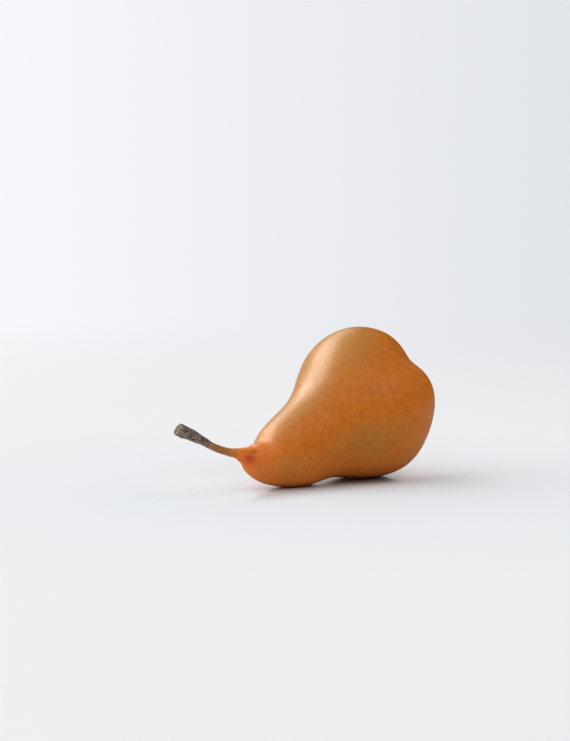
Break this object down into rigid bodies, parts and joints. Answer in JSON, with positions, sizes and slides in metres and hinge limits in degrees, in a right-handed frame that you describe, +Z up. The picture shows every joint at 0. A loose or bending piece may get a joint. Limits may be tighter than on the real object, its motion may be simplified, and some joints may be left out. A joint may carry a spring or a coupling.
{
  "type": "pear fruit",
  "caption": "Whole ripe pear lying on its side, with a bulbous body, long tapering neck, woody stem and a dried calyx in the blossom basin.",
  "frame": {"origin": "middle of the bottom face of the bounding box: on the surface that the pear lies on, under the middle of its length and width", "axes": "+Z up from the surface that the pear lies on; +X along its length towards the blossom end, so the stem points to -X; +Y across it by the right-hand rule"},
  "size_m": [0.141, 0.0678, 0.0718],
  "materials": {
    "skin": "satin orange-brown russet skin with fine pale and dark specks, waxy sheen",
    "stem_bark": "weathered grey-brown bark, dull, greener and smoother towards the fruit, with a pale cut end",
    "dried_calyx": "dry, brittle, dark brown, matt",
    "withered_stamens": "dry, threadlike, very dark brown, matt"
  },
  "bodies": {
    "root": {"fruit_body": "skin", "stem": "stem_bark", "sepal_1": "dried_calyx", "sepal_2": "dried_calyx", "sepal_3": "dried_calyx", "sepal_4": "dried_calyx", "sepal_5": "dried_calyx", "stamen_tuft": "withered_stamens"}
  },
  "joints": []
}
